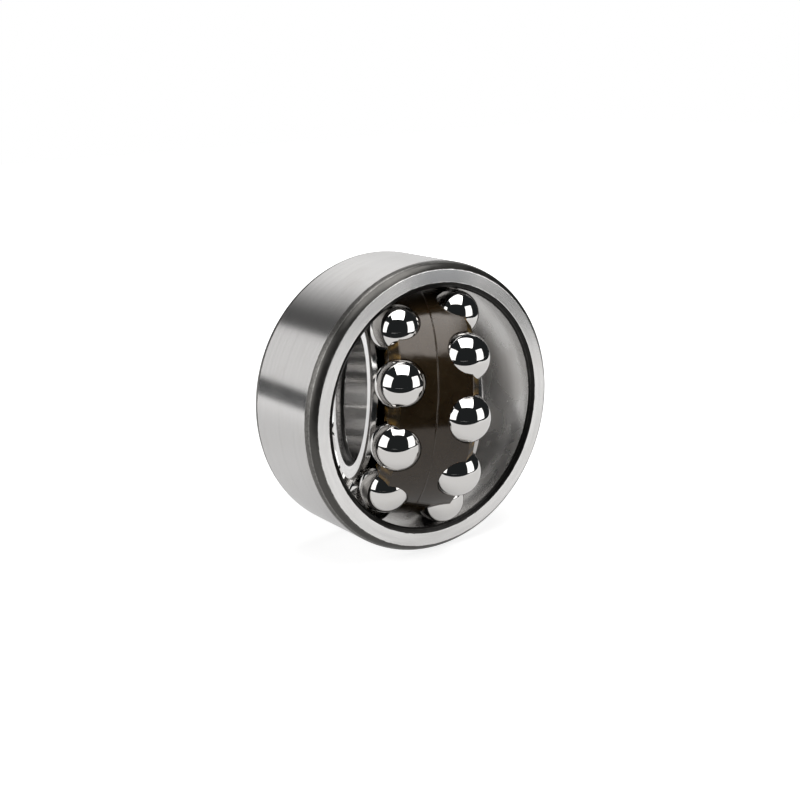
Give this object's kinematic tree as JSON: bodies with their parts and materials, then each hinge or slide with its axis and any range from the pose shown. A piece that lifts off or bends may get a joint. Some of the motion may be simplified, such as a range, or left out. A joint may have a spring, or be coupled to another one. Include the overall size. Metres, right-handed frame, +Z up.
{
  "type": "self-aligning ball bearing",
  "caption": "Self-aligning bearing: two rows of balls in a moulded cage run in a hollow spherical outer raceway, so the inner ring spins and tilts freely; shown swung out.",
  "frame": {"origin": "bearing centre, where the axis of the outer ring, the axis of the inner ring and the line it swings about meet", "axes": "+Y along the outer ring's axis, away from the pictured front face; +Z up, with the outer ring standing on its rim; the inner ring's axis is swung 69.3 degrees from +Y towards -X about a line that leans 8.1 degrees from +Z towards +X"},
  "size_m": [0.08, 0.0718, 0.08],
  "materials": {
    "outer_ring_steel": "ground outside and on the side faces, polished on the spherical raceway and the edge chamfers",
    "inner_ring_steel": "ground bore and side faces, polished raceways",
    "cage_polyamide": "moulded glass-fibre polyamide, very dark brown, slightly translucent where it is thin",
    "ball_steel": "mirror polished bearing steel"
  },
  "bodies": {
    "outer_ring": {"outer_ring": "outer_ring_steel"},
    "cage": {"cage": "cage_polyamide"},
    "inner_ring": {"inner_ring": "inner_ring_steel"},
    "ball_a_01": {"ball_a_01": "ball_steel"},
    "ball_a_02": {"ball_a_02": "ball_steel"},
    "ball_a_03": {"ball_a_03": "ball_steel"},
    "ball_a_04": {"ball_a_04": "ball_steel"},
    "ball_a_05": {"ball_a_05": "ball_steel"},
    "ball_a_06": {"ball_a_06": "ball_steel"},
    "ball_a_07": {"ball_a_07": "ball_steel"},
    "ball_a_08": {"ball_a_08": "ball_steel"},
    "ball_a_09": {"ball_a_09": "ball_steel"},
    "ball_a_10": {"ball_a_10": "ball_steel"},
    "ball_a_11": {"ball_a_11": "ball_steel"},
    "ball_b_01": {"ball_b_01": "ball_steel"},
    "ball_b_02": {"ball_b_02": "ball_steel"},
    "ball_b_03": {"ball_b_03": "ball_steel"},
    "ball_b_04": {"ball_b_04": "ball_steel"},
    "ball_b_05": {"ball_b_05": "ball_steel"},
    "ball_b_06": {"ball_b_06": "ball_steel"},
    "ball_b_07": {"ball_b_07": "ball_steel"},
    "ball_b_08": {"ball_b_08": "ball_steel"},
    "ball_b_09": {"ball_b_09": "ball_steel"},
    "ball_b_10": {"ball_b_10": "ball_steel"},
    "ball_b_11": {"ball_b_11": "ball_steel"}
  },
  "joints": [
    {"name": "swivel", "type": "hinge", "parent": "outer_ring", "child": "cage", "pos_m": [0, 0, 0], "axis": [0.1409, 0, 0.99], "range_deg": [-159.3, 20.7]},
    {"name": "inner_spin", "type": "hinge", "parent": "cage", "child": "inner_ring", "pos_m": [0, 0, 0], "axis": [-0.9261, 0.3535, 0.1318], "continuous": true},
    {"name": "ball_a_01_roll", "type": "hinge", "parent": "cage", "child": "ball_a_01", "pos_m": [-0.00035, 0.01467, 0.02527], "axis": [-0.9678, 0.2116, -0.1361], "continuous": true},
    {"name": "ball_a_02_roll", "type": "hinge", "parent": "cage", "child": "ball_a_02", "pos_m": [0.00219, 0.02546, 0.01417], "axis": [-0.9954, 0.0944, -0.0155], "continuous": true},
    {"name": "ball_a_03_roll", "type": "hinge", "parent": "cage", "child": "ball_a_03", "pos_m": [0.00144, 0.02917, -0.00107], "axis": [-0.9872, 0.0542, 0.1499], "continuous": true},
    {"name": "ball_a_04_roll", "type": "hinge", "parent": "cage", "child": "ball_a_04", "pos_m": [-0.00237, 0.0246, -0.01559], "axis": [-0.9459, 0.1038, 0.3075], "continuous": true},
    {"name": "ball_a_05_roll", "type": "hinge", "parent": "cage", "child": "ball_a_05", "pos_m": [-0.00802, 0.01322, -0.02479], "axis": [-0.8845, 0.2274, 0.4074], "continuous": true},
    {"name": "ball_a_06_roll", "type": "hinge", "parent": "cage", "child": "ball_a_06", "pos_m": [-0.01373, -0.00137, -0.02576], "axis": [-0.8225, 0.3857, 0.4179], "continuous": true},
    {"name": "ball_a_07_roll", "type": "hinge", "parent": "cage", "child": "ball_a_07", "pos_m": [-0.01767, -0.01453, -0.01817], "axis": [-0.7797, 0.5286, 0.3356], "continuous": true},
    {"name": "ball_a_08_roll", "type": "hinge", "parent": "cage", "child": "ball_a_08", "pos_m": [-0.0186, -0.02209, -0.00445], "axis": [-0.7696, 0.6106, 0.1866], "continuous": true},
    {"name": "ball_a_09_roll", "type": "hinge", "parent": "cage", "child": "ball_a_09", "pos_m": [-0.01623, -0.02164, 0.01106], "axis": [-0.7954, 0.6057, 0.0182], "continuous": true},
    {"name": "ball_a_10_roll", "type": "hinge", "parent": "cage", "child": "ball_a_10", "pos_m": [-0.01129, -0.01333, 0.02342], "axis": [-0.849, 0.5155, -0.116], "continuous": true},
    {"name": "ball_a_11_roll", "type": "hinge", "parent": "cage", "child": "ball_a_11", "pos_m": [-0.00537, 0.00021, 0.02872], "axis": [-0.9133, 0.3686, -0.1735], "continuous": true},
    {"name": "ball_b_01_roll", "type": "hinge", "parent": "cage", "child": "ball_b_01", "pos_m": [0.01767, 0.01453, 0.01817], "axis": [-0.7797, 0.5286, 0.3356], "continuous": true},
    {"name": "ball_b_02_roll", "type": "hinge", "parent": "cage", "child": "ball_b_02", "pos_m": [0.0186, 0.02209, 0.00445], "axis": [-0.7696, 0.6106, 0.1866], "continuous": true},
    {"name": "ball_b_03_roll", "type": "hinge", "parent": "cage", "child": "ball_b_03", "pos_m": [0.01623, 0.02164, -0.01106], "axis": [-0.7954, 0.6057, 0.0182], "continuous": true},
    {"name": "ball_b_04_roll", "type": "hinge", "parent": "cage", "child": "ball_b_04", "pos_m": [0.01129, 0.01333, -0.02342], "axis": [-0.849, 0.5155, -0.116], "continuous": true},
    {"name": "ball_b_05_roll", "type": "hinge", "parent": "cage", "child": "ball_b_05", "pos_m": [0.00537, -0.00021, -0.02872], "axis": [-0.9133, 0.3686, -0.1735], "continuous": true},
    {"name": "ball_b_06_roll", "type": "hinge", "parent": "cage", "child": "ball_b_06", "pos_m": [0.00035, -0.01467, -0.02527], "axis": [-0.9678, 0.2116, -0.1361], "continuous": true},
    {"name": "ball_b_07_roll", "type": "hinge", "parent": "cage", "child": "ball_b_07", "pos_m": [-0.00219, -0.02546, -0.01417], "axis": [-0.9954, 0.0944, -0.0155], "continuous": true},
    {"name": "ball_b_08_roll", "type": "hinge", "parent": "cage", "child": "ball_b_08", "pos_m": [-0.00144, -0.02917, 0.00107], "axis": [-0.9872, 0.0542, 0.1499], "continuous": true},
    {"name": "ball_b_09_roll", "type": "hinge", "parent": "cage", "child": "ball_b_09", "pos_m": [0.00237, -0.0246, 0.01559], "axis": [-0.9459, 0.1038, 0.3075], "continuous": true},
    {"name": "ball_b_10_roll", "type": "hinge", "parent": "cage", "child": "ball_b_10", "pos_m": [0.00802, -0.01322, 0.02479], "axis": [-0.8845, 0.2274, 0.4074], "continuous": true},
    {"name": "ball_b_11_roll", "type": "hinge", "parent": "cage", "child": "ball_b_11", "pos_m": [0.01373, 0.00137, 0.02576], "axis": [-0.8225, 0.3857, 0.4179], "continuous": true}
  ],
  "couplings": [
    {"joint": "ball_a_01_roll", "follows": "inner_spin", "ratio": -3.1731},
    {"joint": "ball_a_02_roll", "follows": "inner_spin", "ratio": -3.1731},
    {"joint": "ball_a_03_roll", "follows": "inner_spin", "ratio": -3.1731},
    {"joint": "ball_a_04_roll", "follows": "inner_spin", "ratio": -3.1731},
    {"joint": "ball_a_05_roll", "follows": "inner_spin", "ratio": -3.1731},
    {"joint": "ball_a_06_roll", "follows": "inner_spin", "ratio": -3.1731},
    {"joint": "ball_a_07_roll", "follows": "inner_spin", "ratio": -3.1731},
    {"joint": "ball_a_08_roll", "follows": "inner_spin", "ratio": -3.1731},
    {"joint": "ball_a_09_roll", "follows": "inner_spin", "ratio": -3.1731},
    {"joint": "ball_a_10_roll", "follows": "inner_spin", "ratio": -3.1731},
    {"joint": "ball_a_11_roll", "follows": "inner_spin", "ratio": -3.1731},
    {"joint": "ball_b_01_roll", "follows": "inner_spin", "ratio": -3.1731},
    {"joint": "ball_b_02_roll", "follows": "inner_spin", "ratio": -3.1731},
    {"joint": "ball_b_03_roll", "follows": "inner_spin", "ratio": -3.1731},
    {"joint": "ball_b_04_roll", "follows": "inner_spin", "ratio": -3.1731},
    {"joint": "ball_b_05_roll", "follows": "inner_spin", "ratio": -3.1731},
    {"joint": "ball_b_06_roll", "follows": "inner_spin", "ratio": -3.1731},
    {"joint": "ball_b_07_roll", "follows": "inner_spin", "ratio": -3.1731},
    {"joint": "ball_b_08_roll", "follows": "inner_spin", "ratio": -3.1731},
    {"joint": "ball_b_09_roll", "follows": "inner_spin", "ratio": -3.1731},
    {"joint": "ball_b_10_roll", "follows": "inner_spin", "ratio": -3.1731},
    {"joint": "ball_b_11_roll", "follows": "inner_spin", "ratio": -3.1731}
  ]
}
